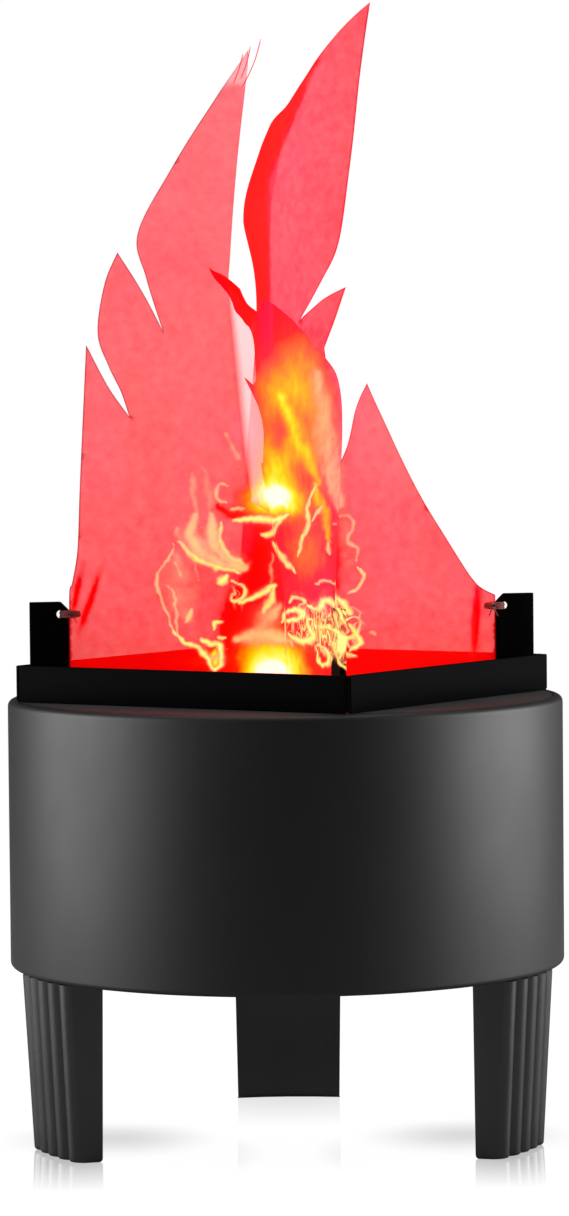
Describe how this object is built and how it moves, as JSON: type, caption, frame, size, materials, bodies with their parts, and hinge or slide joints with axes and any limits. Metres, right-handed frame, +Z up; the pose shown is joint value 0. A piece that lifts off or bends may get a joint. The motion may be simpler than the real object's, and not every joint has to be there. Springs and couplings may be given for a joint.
{
  "type": "silk flame effect light",
  "caption": "Round drum on fluted legs with a square frame of posts on its deck; a fan and lamps inside blow up and light flame-shaped red silk.",
  "frame": {"origin": "centre of the drum's axis on the surface that the three feet stand on", "axes": "+Z up along the drum's axis, -Y towards the front as pictured, +X to the viewer's right"},
  "size_m": [0.135, 0.135, 0.2762],
  "materials": {
    "casing": "satin black moulded plastic",
    "frame": "satin black, sharp edges",
    "silk": "thin sheer flame silk, red",
    "thread": "waxed thread",
    "screws": "zinc plated",
    "fan_plastic": "glass-filled black",
    "bearing": "sintered bronze",
    "magnet": "ferrite",
    "winding": "enamelled copper wire",
    "bracket": "mill finish",
    "lamp_board": "white solder mask",
    "led": "amber silicone lens",
    "circuit_board": "green solder mask",
    "transformer": "taped winding",
    "capacitor": "shrink sleeve",
    "terminal": "moulded",
    "controls": "fine textured black",
    "lead_red": "PVC insulation",
    "lead_black": "PVC insulation"
  },
  "bodies": {
    "base": {"drum_shell": "casing", "top_deck": "casing", "bottom_plate": "casing", "leg_rear": "casing", "leg_front_left": "casing", "leg_front_right": "casing", "leg_screw_1": "screws", "leg_screw_2": "screws", "leg_screw_3": "screws", "base_screw_1": "screws", "base_screw_2": "screws", "base_screw_3": "screws", "fan_housing": "fan_plastic", "fan_bearing": "bearing", "fan_stator": "winding", "fan_screw_1": "screws", "fan_screw_2": "screws", "fan_screw_3": "screws", "fan_screw_4": "screws", "led_bracket": "bracket", "led_heat_sink": "bracket", "led_board": "lamp_board", "led_1": "led", "led_2": "led", "led_3": "led", "led_4": "led", "led_5": "led", "driver_board": "circuit_board", "transformer": "transformer", "capacitor": "capacitor", "terminal_block": "terminal", "power_inlet": "controls", "inlet_nut": "screws", "switch_housing": "controls", "switch_pin": "screws", "lamp_lead_red": "lead_red", "lamp_lead_black": "lead_black", "switch_lead": "lead_black", "inlet_lead": "lead_red"},
    "silk_frame": {"frame_rail_rear_right": "frame", "frame_rail_rear_left": "frame", "frame_rail_front_left": "frame", "frame_rail_front_right": "frame", "corner_post_right": "frame", "corner_post_rear": "frame", "corner_post_left": "frame", "corner_post_front": "frame", "silk_ring_right": "thread", "silk_ring_rear": "thread", "silk_ring_left": "thread", "silk_ring_front": "thread", "silk_wide": "silk", "silk_front": "silk", "silk_rear": "silk"},
    "impeller": {"fan_impeller": "fan_plastic", "fan_shaft": "screws", "fan_magnet_ring": "magnet"},
    "rocker": {"switch_rocker": "controls"}
  },
  "joints": [
    {"name": "fan_spin", "type": "hinge", "parent": "base", "child": "impeller", "pos_m": [0, 0, 0.064], "axis": [0, 0, 1], "continuous": true},
    {"name": "switch_rock", "type": "hinge", "parent": "base", "child": "rocker", "pos_m": [-0.0095, 0.062, 0.066], "axis": [1, 0, 0], "range_deg": [0, 16]},
    {"name": "frame_lift", "type": "slide", "parent": "base", "child": "silk_frame", "axis": [0, 0, 1], "range_m": [0, 0.03]}
  ]
}
